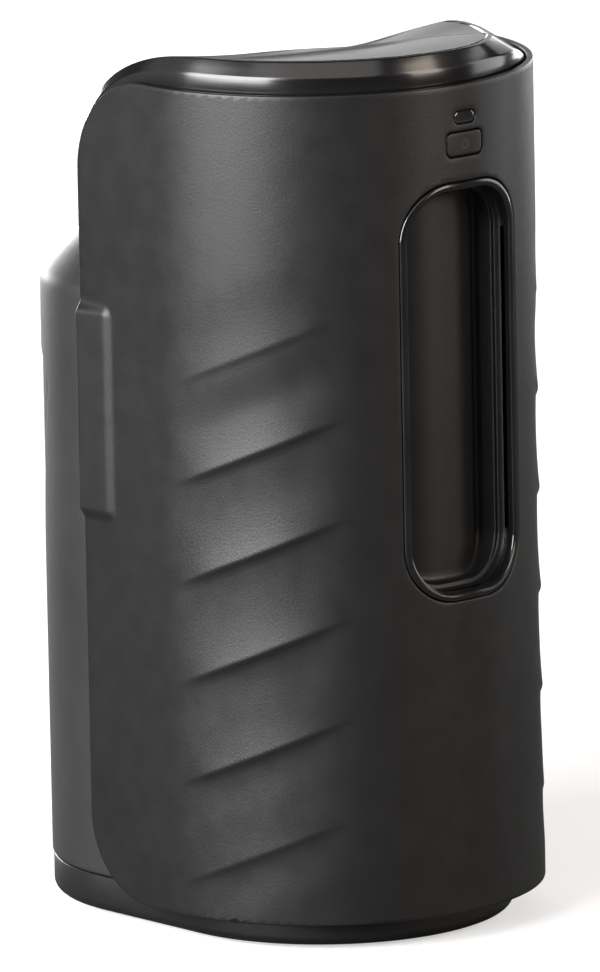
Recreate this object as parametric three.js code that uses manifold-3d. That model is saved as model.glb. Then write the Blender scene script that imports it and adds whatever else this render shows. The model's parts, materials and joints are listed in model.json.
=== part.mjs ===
// Car dryer blower: a free-standing vacuum-motor blower for drying cars.
// A matte cover wraps the front and sides of a long-oval core. Air is drawn in
// behind the cover and through the rear panel, passes the foam filter, the fan
// and the motor, and leaves through the hose collar on the slanted rear deck.
// Millimetres, +Z up, front towards -Y, origin on the floor under the middle.

import * as THREE from "three";
import { mergeVertices } from "three/addons/utils/BufferGeometryUtils.js";
import Module from "manifold-3d";

const wasm = await Module();
wasm.setup();

// ---------------------------------------------------------------- dimensions

const gap = 0.3; // between neighbouring pieces that touch
const beyond = 60; // how far a cutting body reaches past what it cuts
const depth = 227;

// wrap-round cover: half a circle in front, straight sides behind it
const coverRadius = 90;
const coverWall = 2.7;
const coverBottom = 13.4;
const coverTop = 361.2;
const coverCornerLow = 36;
const coverCornerHigh = 40;
const coverInner = coverRadius - coverWall;

// long-oval core that the cover wraps
const coreRadius = 77;
const coreWall = 2.5;
const coreInner = coreRadius - coreWall;
const coreTop = 325;
const baseTop = 17;
const frontY = coverRadius - depth / 2; // centre of the front arc
const rearY = depth / 2 - coreRadius; // centre of the rear arc
const coverRearY = frontY + 49;
const coreSplitY = -20; // joint between the two core halves

// sloped shoulder and slanted deck at the rear
const shoulderZ = 267;
const shoulderInset = 18;
const deckBackY = rearY + coreRadius - shoulderInset;
const deckBackZ = shoulderZ + shoulderInset;
const deckFrontY = coverRearY + 5;
const deckFrontZ = 322;
const deckTilt = Math.atan2(deckFrontZ - deckBackZ, deckBackY - deckFrontY);

// raised pads at the rear edges of the cover
const padDepth = 20;
const padRise = 2.7;
const padBevel = 4;
const padBottom = 174;
const padTop = 266;

// grip recess, power button and indicator on the front centre line
const recessWidth = 64.6;
const recessHeight = 175.5;
const recessCorner = 24;
const recessZ = 233.25;
const trimWidth = 3.6;
const gripFloorRadius = 34;
const gripFloorY = frontY - 76; // crown of the convex recess floor
const buttonWidth = 19.4;
const buttonHeight = 9.8;
const buttonCorner = 2.5;
const buttonZ = 336.4;
const buttonClearance = 0.4;
const indicatorWidth = 11.6;
const indicatorHeight = 4.9;
const indicatorZ = 347.4;

// glossy lid
const lidRadius = 86.3;
const lidWall = 3;
const lidTop = 374.4;
const lidShoulder = 367.6; // upper edge of the side wall
const lidBevel = 3;
const lidSkirt = 352;
const lidRearY = coverRearY + 5;
const lidRearZ = 325.4;
const lidArcY = frontY - 17; // the lid rolls down behind this line, on a quarter ellipse
const lidArcZ = 332.5;
const lidArcDepth = 69;
const lidArcRise = lidTop - lidArcZ;
const dishDepth = 6;
const dishRadius = 76;
const leanDrop = 5; // the right rear quarter of the lid lies this much lower
const leanAngle = -48; // direction in which it falls, about Z from the rear
const leanStart = -20; // the slope runs between these distances from the arc centre
const leanEnd = 16;
const rightBevel = 14;
const rightShoulder = 360.4;
const rightBevelStart = 28; // degrees round the front arc
const lidLow = 300; // a level below the whole lid

// motor stack, upright on the middle of the core
const motorY = (frontY + rearY) / 2;
const motorPlateZ = 95;
const motorPlateThickness = 3;
const motorZ = motorPlateZ + motorPlateThickness;
const shaftRadius = 4;
const bearingRadius = 11;
const bucketRadius = 70;
const bucketTop = 150; // above the motor plate
const bucketCapThickness = 3;
const bucketCapTop = motorZ + bucketTop + gap + bucketCapThickness;

// hose collar
const boreRadius = 23.5;
const collarRadius = 29;
const flangeRadius = 35;
const spigotRadius = 26.5;
const spigotLength = 12;
const collarHeight = 14;

// ----------------------------------------------------------------- materials

const plastic = (color, roughness) =>
  new THREE.MeshStandardMaterial({ color, roughness, metalness: 0, flatShading: true });
const metal = (color, roughness) =>
  new THREE.MeshStandardMaterial({ color, roughness, metalness: 1, flatShading: true });

const charcoal = plastic(0x38373a, 0.5);
const graphite = plastic(0x2c2c2f, 0.42);
const glossBlack = plastic(0x0b0b0d, 0.08);
const mattBlack = plastic(0x161618, 0.65);
const smokedLens = plastic(0x202226, 0.15);
const rubber = plastic(0x111112, 0.85);
const foam = plastic(0x3d3f42, 0.95);
const natural = plastic(0x8c9094, 0.55);
const board = plastic(0x1e5a34, 0.5);
const carbon = plastic(0x2b2b2b, 0.7);
const steel = metal(0x9ea3a8, 0.35);
const zinc = metal(0xb9bcc0, 0.42);
const castMetal = metal(0xa7a9ab, 0.5);
const copper = metal(0xb4683a, 0.35);

// -------------------------------------------------------------------- solids

const planSegments = 32; // round the cover and the core
const motorSegments = 20;

function solid(geometry) {
  const bare = geometry.clone();
  bare.deleteAttribute("normal");
  bare.deleteAttribute("uv");
  const merged = mergeVertices(bare, 1e-3);
  const at = merged.attributes.position;
  const corner = [0, 1, 2].map(() => new THREE.Vector3());
  const triangles = [];
  let volume = 0;
  for (let i = 0; i < merged.index.count; i += 3) {
    const [a, b, c] = [0, 1, 2].map((k) => merged.index.getX(i + k));
    if (a === b || b === c || c === a) continue;
    triangles.push([a, b, c]);
    [a, b, c].forEach((v, k) => corner[k].fromBufferAttribute(at, v));
    volume += corner[0].dot(corner[1].cross(corner[2]));
  }
  if (volume < 0) triangles.forEach((t) => t.reverse());
  const mesh = new wasm.Mesh({
    numProp: 3,
    vertProperties: new Float32Array(at.array),
    triVerts: new Uint32Array(triangles.flat()),
  });
  return new wasm.Manifold(mesh);
}

const join = (first, ...rest) => rest.reduce((sum, piece) => sum.add(piece), first);
const cut = (body, ...tools) => tools.reduce((left, tool) => left.subtract(tool), body);
const common = (first, ...rest) => rest.reduce((left, piece) => left.intersect(piece), first);

function geometryOf(body) {
  const mesh = body.getMesh();
  const geometry = new THREE.BufferGeometry();
  geometry.setAttribute("position", new THREE.BufferAttribute(mesh.vertProperties, 3));
  geometry.setIndex(new THREE.BufferAttribute(mesh.triVerts, 1));
  geometry.computeVertexNormals();
  return geometry;
}

function polygon(points) {
  return new THREE.Shape(points.map(([x, y]) => new THREE.Vector2(x, y)));
}

function roundedRect(width, height, radius, x = 0, y = 0) {
  const [w, h] = [width / 2 - radius, height / 2 - radius];
  const shape = new THREE.Shape();
  shape.absarc(x + w, y + h, radius, 0, Math.PI / 2);
  shape.absarc(x - w, y + h, radius, Math.PI / 2, Math.PI);
  shape.absarc(x - w, y - h, radius, Math.PI, 1.5 * Math.PI);
  shape.absarc(x + w, y - h, radius, 1.5 * Math.PI, 2 * Math.PI);
  return shape;
}

const basisX = new THREE.Matrix4().makeBasis(
  new THREE.Vector3(0, 1, 0), new THREE.Vector3(0, 0, 1), new THREE.Vector3(1, 0, 0));
const basisY = new THREE.Matrix4().makeBasis(
  new THREE.Vector3(1, 0, 0), new THREE.Vector3(0, 0, 1), new THREE.Vector3(0, -1, 0));

function extrude(shape, length, curveSegments) {
  return new THREE.ExtrudeGeometry(shape, { depth: length, bevelEnabled: false, curveSegments });
}

// shape drawn in (Y, Z), running along X
function prismX(shape, from, to, curveSegments = 8) {
  const geometry = extrude(shape, to - from, curveSegments).applyMatrix4(basisX);
  return solid(geometry.translate(from, 0, 0));
}

// shape drawn in (X, Z), running along Y
function prismY(shape, from, to, curveSegments = 6) {
  const geometry = extrude(shape, to - from, curveSegments).applyMatrix4(basisY);
  return solid(geometry.translate(0, to, 0));
}

// shape drawn in (X, Y), running along Z
function prismZ(shape, from, to, curveSegments = 8) {
  return solid(extrude(shape, to - from, curveSegments).translate(0, 0, from));
}

function block(x0, x1, y0, y1, z0, z1) {
  const box = new THREE.BoxGeometry(x1 - x0, y1 - y0, z1 - z0);
  return solid(box.translate((x0 + x1) / 2, (y0 + y1) / 2, (z0 + z1) / 2));
}

// profile of [radius, z] points, turned about the Z axis
function lathe(profile, segments = motorSegments) {
  const points = profile.map(([r, z]) => new THREE.Vector2(r, z));
  return solid(new THREE.LatheGeometry(points, segments).rotateX(Math.PI / 2));
}

function ring(inner, outer, from, to, segments = motorSegments) {
  const profile = [[inner, from], [outer, from], [outer, to], [inner, to], [inner, from]];
  return lathe(profile, segments);
}

function disc(radius, from, to, segments = motorSegments) {
  return lathe([[0, from], [radius, from], [radius, to], [0, to]], segments);
}

// round bar along Y
function barY(radius, from, to, x, z, segments = 12) {
  return disc(radius, from, to, segments).rotate([-90, 0, 0]).translate([x, 0, z]);
}

// round bar along X
function barX(radius, from, to, y, z, segments = 12) {
  return disc(radius, from, to, segments).rotate([0, 90, 0]).translate([0, y, z]);
}

// The profile, which starts and ends on the axis, as a long oval from y0 to y1.
function oval(profile, y0, y1, segments = planSegments) {
  const turned = lathe(profile, segments);
  const left = profile.filter(([r]) => r > 0).map(([r, z]) => [-r, z]).reverse();
  const middle = prismY(polygon([...profile, ...left]), y0, y1);
  return join(middle, turned.translate([0, y0, 0]), turned.translate([0, y1, 0]));
}

// The same with its rear end cut square at y1: a U in plan.
function horseshoe(profile, y1, segments = planSegments) {
  const reach = 2 * depth;
  return common(oval(profile, frontY, y1, segments), block(-reach, reach, -reach, y1, -reach, reach));
}

const slab = (radius, from, to) => [[0, from], [radius, from], [radius, to], [0, to]];

// ------------------------------------------------------------------ assembly

const blower = new THREE.Group();

function add(name, body, material, parent = blower) {
  const mesh = new THREE.Mesh(geometryOf(body), material);
  mesh.name = name;
  parent.add(mesh);
  return mesh;
}

// --------------------------------------------------------------- outer cover

function coverOutline() {
  const shape = new THREE.Shape();
  shape.moveTo(-depth, coverBottom);
  shape.lineTo(coverRearY - coverCornerLow, coverBottom);
  shape.absarc(coverRearY - coverCornerLow, coverBottom + coverCornerLow, coverCornerLow, -Math.PI / 2, 0);
  shape.absarc(coverRearY - coverCornerHigh, coverTop - coverCornerHigh, coverCornerHigh, 0, Math.PI / 2);
  shape.lineTo(-depth, coverTop);
  return shape;
}

function coverPad(side) {
  const inside = coverRadius - 1;
  const outside = coverRadius + padRise;
  const frontEdge = coverRearY - padDepth;
  const plan = polygon([
    [side * inside, frontEdge], [side * coverRadius, frontEdge], [side * outside, frontEdge + padBevel],
    [side * outside, coverRearY], [side * inside, coverRearY],
  ]);
  const elevation = polygon([
    [side * inside, padBottom], [side * coverRadius, padBottom], [side * outside, padBottom + 2 * padBevel],
    [side * outside, padTop - 1.5 * padBevel], [side * coverRadius, padTop], [side * inside, padTop],
  ]);
  return common(prismZ(plan, padBottom, padTop), prismY(elevation, frontEdge, coverRearY));
}

function frontOpening(width, height, radius, z) {
  return prismY(roundedRect(width, height, radius, 0, z), frontY - coverRadius - 5, frontY - 60);
}

function frontCover() {
  const outer = horseshoe(slab(coverRadius, coverBottom, coverTop), coverRearY);
  const inner = horseshoe(slab(coverInner, coverBottom - 1, coverTop + 1), coverRearY + 1);
  const wall = common(cut(outer, inner), prismX(coverOutline(), -depth, depth));
  return cut(
    join(wall, coverPad(-1), coverPad(1)),
    frontOpening(recessWidth, recessHeight, recessCorner, recessZ),
    frontOpening(buttonWidth + 2 * buttonClearance, buttonHeight + 2 * buttonClearance, buttonCorner, buttonZ),
    frontOpening(indicatorWidth + 2 * gap, indicatorHeight + 2 * gap, indicatorHeight / 2, indicatorZ),
  );
}

// spacers that carry the cover on the core, two on each side
const spacerZ = [60, 300];
const spacerWidth = 16;
const spacerHeight = 12;
const spacerY = -2;
const spacerHoleRadius = 2;

function coverSpacer(side, z) {
  const x = [side * (coreRadius + gap), side * (coverInner - gap)].sort((a, b) => a - b);
  const y = [spacerY - spacerWidth / 2, spacerY + spacerWidth / 2];
  const body = block(...x, ...y, z - spacerHeight / 2, z + spacerHeight / 2);
  return cut(body, barX(spacerHoleRadius, -depth, depth, spacerY, z));
}

// ---------------------------------------------------------------------- core

function deckCutter(lowered) {
  return prismX(polygon([
    [deckFrontY - lowered, coreTop + beyond], [deckFrontY - lowered, deckFrontZ - lowered],
    [deckBackY, deckBackZ - lowered / Math.cos(deckTilt)],
    [deckBackY + depth, deckBackZ - lowered - depth * Math.tan(deckTilt)], [deckBackY + depth, coreTop + beyond],
  ]), -depth, depth);
}

// Core body shrunk by the wall; open at the bottom when it is the cavity.
function coreBody(wall, bottom) {
  const radius = coreRadius - wall;
  const rearProfile = [
    [0, bottom], [radius, bottom], [radius, shoulderZ - wall / 2],
    [radius - shoulderInset, deckBackZ - wall / 2], [radius - shoulderInset, coreTop - wall], [0, coreTop - wall],
  ];
  const rear = cut(oval(rearProfile, frontY, rearY), deckCutter(wall));
  const tall = horseshoe(slab(radius, bottom, coreTop - wall), deckFrontY - wall);
  return join(rear, tall);
}

function plateLedge() {
  const height = 2.7;
  const edge = [motorPlateZ - gap - height, motorPlateZ - gap];
  return cut(
    oval(slab(coreInner + 1, ...edge), frontY, rearY),
    oval(slab(coreInner - 3, edge[0] - 1, edge[1] + 1), frontY, rearY),
  );
}

function coreWalls() {
  const shell = cut(coreBody(0, baseTop + gap), coreBody(coreWall, baseTop - 5));
  return join(shell, plateLedge());
}

const core = coreWalls();
const pocketWidth = recessWidth - 2 * gap - 2;
const pocketHeight = recessHeight - 2 * gap - 2;
const pocketCorner = recessCorner - 1;

function intakeSlots() {
  const slots = [];
  for (let angle = -60; angle <= 60; angle += 12) {
    const slot = block(-2.5, 2.5, -coreRadius - 5, -coreInner + 5, 32, 84);
    slots.push(slot.rotate([0, 0, angle]).translate([0, frontY, 0]));
  }
  return slots;
}

function frontChassis() {
  const half = common(core, block(-depth, depth, -depth, coreSplitY - gap, 0, coreTop + 1));
  const window = frontOpening(pocketWidth + 1, pocketHeight + 1, pocketCorner, recessZ);
  return cut(half, window, ...intakeSlots());
}

// rear panel: wide at the top, narrowing to a rounded foot
const panelTop = 234;
const panelHalfWidth = 70;
const panelNarrow = 52;
const panelNarrowZ = 110;
const panelBottom = 66;
const panelInset = 1;

function panelOutline(inset) {
  const [top, bottom] = [panelTop - inset, panelBottom + inset];
  const [wide, narrow] = [panelHalfWidth - inset, panelNarrow - inset];
  const round = 16;
  const shape = new THREE.Shape();
  shape.moveTo(-wide + round, top);
  shape.lineTo(wide - round, top);
  shape.quadraticCurveTo(wide, top, wide - 2, top - round);
  shape.lineTo(narrow, panelNarrowZ);
  shape.bezierCurveTo(narrow - 8, panelNarrowZ - 30, narrow / 2, bottom, 0, bottom);
  shape.bezierCurveTo(-narrow / 2, bottom, -narrow + 8, panelNarrowZ - 30, -narrow, panelNarrowZ);
  shape.lineTo(-wide + 2, top - round);
  shape.quadraticCurveTo(-wide, top, -wide + round, top);
  return shape;
}

function rearPanel() {
  const outer = coreRadius - panelInset;
  const skin = ring(outer - 2.4, outer, 30, 260, planSegments).translate([0, rearY, 0]);
  const louvres = [];
  for (let z = 96; z <= 206; z += 10) {
    const width = 2 * THREE.MathUtils.lerp(26, 40, (z - 96) / 110);
    louvres.push(block(-width / 2, width / 2, rearY, depth, z - 2.2, z + 2.2));
  }
  return cut(common(skin, prismY(panelOutline(gap + 0.2), rearY, depth, 5)), ...louvres);
}

// appliance inlet low on the rear wall
const inletZ = 40;
const inletWidth = 28;
const inletHeight = 20;
const inletFaceY = rearY + coreRadius - 2.5;

function powerInlet() {
  const flangeY = inletFaceY - 20;
  const shroud = prismY(roundedRect(inletWidth, inletHeight, 2, 0, inletZ), flangeY - 8, inletFaceY, 2);
  const socket = prismY(roundedRect(inletWidth - 4, inletHeight - 4, 1.5, 0, inletZ), flangeY, depth, 2);
  const pins = [[-7, -1.5], [0, 2.5], [7, -1.5]].map(([x, z]) =>
    block(x - 1, x + 1, flangeY - 1, inletFaceY - 4, inletZ + z - 2, inletZ + z + 2));
  return join(cut(shroud, socket), ...pins);
}

function rearShell() {
  const half = common(core, block(-depth, depth, coreSplitY, depth, 0, coreTop + 1));
  const panelHole = prismY(panelOutline(0), rearY + 10, depth, 5);
  const inletHole = prismY(
    roundedRect(inletWidth + 2 * gap, inletHeight + 2 * gap, 2, 0, inletZ), rearY + 10, depth, 2);
  const portHole = onDeck(disc(spigotRadius + gap, -40, 40));
  const spacerHoles = spacerZ.map((z) => barX(spacerHoleRadius, -depth, depth, spacerY, z));
  return cut(half, panelHole, inletHole, portHole, ...spacerHoles);
}

// ---------------------------------------------------------------------- base

const footHeight = 2.7;
const footRadius = 10;
const trayFloor = footHeight + gap;
const trayFloorThickness = 3;
const footSpots = { front_left: [-42, -62], front_right: [42, -62], rear_left: [-42, 75], rear_right: [42, 75] };
const screwSpots = { front_left: [-62, -30], front_right: [62, -30], rear_left: [-62, 42], rear_right: [62, 42] };

function baseTray() {
  const outer = coreRadius - 0.5;
  const skirt = 1.5;
  const edge = 4;
  const rounded = [35, 65].map((degrees) => {
    const angle = THREE.MathUtils.degToRad(degrees);
    return [outer - edge + edge * Math.sin(angle), skirt + edge - edge * Math.cos(angle)];
  });
  const body = oval([
    [0, skirt], [outer - edge, skirt], ...rounded, [outer, skirt + edge], [outer, baseTop], [0, baseTop],
  ], frontY, rearY);
  const under = oval(slab(outer - edge - 2, skirt - 1, trayFloor), frontY, rearY);
  const inside = oval(slab(outer - 2.5, trayFloor + trayFloorThickness, baseTop + 1), frontY, rearY);
  const holes = Object.values(screwSpots).map(([x, y]) => disc(2.3, 0, 30, 12).translate([x, y, 0]));
  return cut(body, under, inside, ...holes);
}

function screw(length, headRadius, headHeight, shankRadius) {
  const driver = disc(headRadius * 0.45, -1, headHeight * 0.5, 6);
  const head = disc(headRadius, 0, headHeight, 12);
  return cut(join(head, disc(shankRadius, headHeight - 0.5, headHeight + length, 8)), driver);
}

// ----------------------------------------------------------------------- lid

function lidOutline(shrink) {
  const [reach, rise] = [lidArcDepth - shrink, lidArcRise - shrink];
  const lowest = lidRearZ - 2 * shrink;
  const shape = new THREE.Shape();
  shape.moveTo(-depth, lidSkirt - shrink);
  shape.lineTo(-depth, lidTop - shrink);
  shape.lineTo(frontY - lidRadius, lidTop - shrink);
  shape.lineTo(lidArcY, lidArcZ + rise);
  shape.absellipse(lidArcY, lidArcZ, reach, rise, Math.PI / 2, 0, true);
  shape.lineTo(lidArcY + reach, lowest);
  shape.lineTo(-5, lowest);
  shape.lineTo(-5, lidSkirt - shrink);
  return shape;
}

function lidDish() {
  const curve = (dishRadius ** 2 + dishDepth ** 2) / (2 * dishDepth);
  const bottom = lidTop - dishDepth;
  const profile = [0, 0.25, 0.5, 0.75, 1, 1.2].map((part) => {
    const r = part * dishRadius;
    return [r, bottom + curve - Math.sqrt(curve ** 2 - r ** 2)];
  });
  return oval([...profile, [0, lidTop + beyond]], frontY, depth);
}

// what the slope towards the right rear takes off
function lidLean() {
  const above = lidTop + beyond;
  const side = polygon([
    [leanStart, above], [leanStart, lidTop], [leanEnd, lidTop - leanDrop], [depth, lidTop - leanDrop],
    [depth, above],
  ]);
  return prismX(side, -depth, depth).rotate([0, 0, leanAngle]).translate([0, frontY, 0]);
}

// what the wide bevel on the right takes off
function lidRightBevel() {
  const rightPart = block(0, depth, -depth, depth, lidLow, lidTop + beyond).rotate([0, 0, rightBevelStart]);
  const over = lidRadius + 1;
  const kept = oval([
    [0, lidLow - 1], [over, lidLow - 1], [over, rightShoulder], [lidRadius, rightShoulder],
    [lidRadius - rightBevel, lidTop - leanDrop], [0, lidTop - leanDrop],
  ], frontY, depth);
  return cut(rightPart.translate([0, frontY, 0]), kept);
}

function topLid() {
  const lidInside = lidTop - dishDepth - lidWall - 1;
  const outer = common(
    horseshoe([
      [0, lidLow], [lidRadius, lidLow], [lidRadius, lidShoulder], [lidRadius - lidBevel, lidTop], [0, lidTop],
    ], lidRearY),
    prismX(lidOutline(0), -depth, depth),
  );
  const inner = common(
    horseshoe([
      [0, lidLow - 1], [lidRadius - lidWall, lidLow - 1], [lidRadius - lidWall, rightShoulder - lidWall],
      [lidRadius - rightBevel, lidInside], [0, lidInside],
    ], lidRearY - lidWall),
    prismX(lidOutline(lidWall), -depth, depth),
  );
  return cut(outer, lidDish(), lidLean(), lidRightBevel(), inner);
}

// ------------------------------------------------------ grip recess and front

const trimBack = 84; // radius at which the trim ring meets the pocket
const frontSpan = [100, 400]; // heights that hold everything on the front

function frontArc(inner, outer) {
  return ring(inner, outer, ...frontSpan, planSegments).translate([0, frontY, 0]);
}

function gripTrimRing() {
  const [width, height] = [recessWidth - 2 * gap, recessHeight - 2 * gap];
  const frame = cut(
    frontOpening(width, height, recessCorner - gap, recessZ),
    frontOpening(width - 2 * trimWidth, height - 2 * trimWidth, recessCorner - gap - trimWidth, recessZ),
  );
  return common(frame, frontArc(trimBack, coverRadius));
}

function gripPocket() {
  const wall = 2.5;
  const backY = gripFloorY + 18;
  const crown = [0, gripFloorY + gripFloorRadius, 0];
  const floor = disc(gripFloorRadius, ...frontSpan, planSegments).translate(crown);
  const hollow = disc(gripFloorRadius - wall, ...frontSpan, 24).translate(crown);
  const outline = (inset) =>
    roundedRect(pocketWidth - 2 * inset, pocketHeight - 2 * inset, pocketCorner - inset, 0, recessZ);
  const body = common(
    prismY(outline(0), frontY - coverRadius, backY),
    disc(trimBack - gap, ...frontSpan, planSegments).translate([0, frontY, 0]),
  );
  const mouth = cut(prismY(outline(wall), frontY - coverRadius - 1, backY + 1), floor);
  const behind = common(hollow, prismY(outline(2 * wall), gripFloorY, backY + 1));
  return cut(body, mouth, behind);
}

const buttonTravel = 1.5;
const stemTipY = frontY - 80;
const boardY = frontY - 72;
const switchFaceY = stemTipY - 1;

function powerButton() {
  const cap = common(
    frontOpening(buttonWidth, buttonHeight, buttonCorner - buttonClearance, buttonZ),
    frontArc(coverInner - 2.5, coverRadius - 0.1),
  );
  return join(cap, barY(2.2, frontY - coverInner, stemTipY, 0, buttonZ));
}

function buttonBezel() {
  const frame = cut(
    frontOpening(buttonWidth + 7, buttonHeight + 5, 4, buttonZ),
    frontOpening(buttonWidth + 2, buttonHeight + 2, 3, buttonZ),
  );
  return common(frame, frontArc(coverInner - 5, coverInner - gap));
}

function powerSwitch() {
  const body = block(-6, 6, switchFaceY, boardY - gap, buttonZ - 6, buttonZ + 6);
  return cut(body, barY(3, switchFaceY - 1, stemTipY + buttonTravel + 1, 0, buttonZ));
}

function indicatorLens() {
  return common(
    frontOpening(indicatorWidth, indicatorHeight, indicatorHeight / 2 - 0.01, indicatorZ),
    frontArc(coverInner - 1, coverRadius - 0.2),
  );
}

function frontElectronics() {
  add("power_button", powerButton(), mattBlack);
  add("button_bezel", buttonBezel(), mattBlack);
  add("power_switch", powerSwitch(), natural);
  add("indicator_lens", indicatorLens(), smokedLens);
  add("indicator_led", barY(2.4, frontY - coverInner + 3, boardY - gap, 0, indicatorZ), natural);
  add("switch_board", block(-21, 21, boardY, boardY + 1.6, coreTop + 2, coreTop + 30), board);
  const upright = block(-18, 18, boardY + 1.9, boardY + 4, coreTop + gap, coreTop + 24);
  const sole = block(-18, 18, boardY + 1.9, boardY + 18, coreTop + gap, coreTop + 2.3);
  add("board_bracket", join(upright, sole), zinc);
}

// --------------------------------------------------------------- hose collar

const deckCentre = [0, (deckFrontY + deckBackY) / 2, (deckFrontZ + deckBackZ) / 2];

function onDeck(body) {
  return body.rotate([THREE.MathUtils.radToDeg(-deckTilt), 0, 0]).translate(deckCentre);
}

function hoseCollar() {
  const collar = lathe([
    [boreRadius, -spigotLength], [spigotRadius, -spigotLength], [spigotRadius, gap], [flangeRadius, gap],
    [flangeRadius, 3], [collarRadius + 0.5, 3], [collarRadius, 6], [collarRadius, collarHeight],
    [boreRadius, collarHeight], [boreRadius, -spigotLength],
  ]);
  return cut(collar, ...collarScrewSpots().map(([x, y]) => disc(1.6, -1, 5, 8).translate([x, y, 0])));
}

function collarScrewSpots() {
  return [0, 1, 2].map((n) => {
    const angle = Math.PI / 2 + (n * 2 * Math.PI) / 3;
    return [32.2 * Math.cos(angle), 32.2 * Math.sin(angle)];
  });
}

function hoseOutlet() {
  const outlet = new THREE.Group();
  outlet.position.set(...deckCentre);
  outlet.rotation.x = -deckTilt;
  blower.add(outlet);
  add("hose_collar", hoseCollar(), mattBlack, outlet);
  add("collar_seal", ring(boreRadius - 1.8, boreRadius - gap, 7, 9.5, 24), rubber, outlet);
  collarScrewSpots().forEach(([x, y], n) => {
    const fastener = add(`collar_screw_${n + 1}`, screw(0.8, 2.2, 1.4, 1.1).rotate([180, 0, 0]), steel, outlet);
    fastener.position.set(x, y, 3 + gap + 1.4);
  });
}

function outletDuct() {
  const tube = onDeck(ring(boreRadius, spigotRadius, -90, -spigotLength - gap));
  return cut(tube, block(-depth, depth, -depth, depth, 0, bucketCapTop + gap));
}

// --------------------------------------------------------------- motor stack

function filterCage() {
  const ribs = [];
  for (let n = 0; n < 8; n += 1) {
    ribs.push(block(44, 47.5, -2, 2, -83, -5).rotate([0, 0, n * 45]));
  }
  return join(disc(64, -85, -82), ring(44, 64, -5.5, -3.6), ...ribs);
}

function impeller() {
  const hub = cut(join(disc(9, 14, 26, 24), disc(58, 23.5, 25)), disc(shaftRadius + gap, 0, 40, 24));
  const shroud = lathe([[24, 8.6], [28, 8.6], [58, 13], [58, 14], [28, 9.8], [24, 9.8], [24, 8.6]]);
  const blades = [];
  for (let n = 0; n < 9; n += 1) {
    const blade = new THREE.Shape();
    blade.absarc(0, 28, 30, -1.2, 0.35);
    blade.absarc(0, 28, 28.6, 0.35, -1.2, true);
    const upright = prismZ(blade, 9, 24.2, 3).translate([16, -18, 0]);
    blades.push(common(upright, disc(57.5, 0, 40)).rotate([0, 0, n * 40]));
  }
  const above = lathe([[0, 0], [24, 9.2], [28, 9.2], [60, 13.6], [60, 30], [0, 30]]);
  return join(hub, shroud, ...blades.map((blade) => common(blade, above)));
}

function lowerBracket() {
  const dish = lathe([
    [bearingRadius + gap, 38], [16, 38], [20, 35], [62, 34.4], [62, 36.4], [22, 37.4], [18, 46],
    [bearingRadius + gap, 46], [bearingRadius + gap, 38],
  ]);
  const lip = ring(9, 13, 36.5, 38.2);
  const vents = [0, 60, 120, 180, 240, 300].map((a) => disc(8, 30, 40, 8).translate([45, 0, 0]).rotate([0, 0, a]));
  return cut(join(dish, lip), ...vents);
}

function upperBracket() {
  const arch = new THREE.Shape([[-52, 40], [-52, 118], [52, 118], [52, 40], [48.5, 40], [48.5, 112], [-48.5, 112],
    [-48.5, 40]].map(([x, z]) => new THREE.Vector2(x, z)));
  const bar = prismY(arch, -11, 11);
  const hub = disc(15, 103, 118);
  return cut(join(bar, hub), disc(bearingRadius + gap, 100, 111.3), disc(6, 100, 130, 16));
}

function stator() {
  const yoke = common(ring(26, 46, 52, 84), block(-46, 46, -40, 40, 50, 90));
  const slots = [-1, 1].map((side) => block(-12, 12, side > 0 ? 27 : -36, side > 0 ? 36 : -27, 50, 90));
  return cut(yoke, ...slots);
}

function fieldCoil(side) {
  const y = side > 0 ? [27.4, 35.6] : [-35.6, -27.4];
  return block(-11.6, 11.6, ...y, 46, 90);
}

function brushHolder(side) {
  const y = side > 0 ? [14.5, 32] : [-32, -14.5];
  return cut(block(-5, 5, ...y, 91, 101), block(-3.3, 3.3, -30, 30, 93, 99));
}

function carbonBrush(side) {
  const y = side > 0 ? [13.4, 27] : [-27, -13.4];
  return block(-3, 3, ...y, 93.3, 98.7);
}

function rotor(parent) {
  const bore = disc(shaftRadius + gap, -10, 140, 24);
  add("motor_shaft", disc(shaftRadius, 6, 112, 24), steel, parent);
  add("impeller", impeller(), castMetal, parent);
  add("impeller_nut", cut(disc(7, 7.5, 13.7, 6), bore), steel, parent);
  const windings = join(disc(24, 54, 82), disc(19, 48, 88, 24));
  add("armature", cut(windings, bore), copper, parent);
  add("commutator", cut(disc(13, 90, 102, 24), bore), copper, parent);
}

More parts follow.
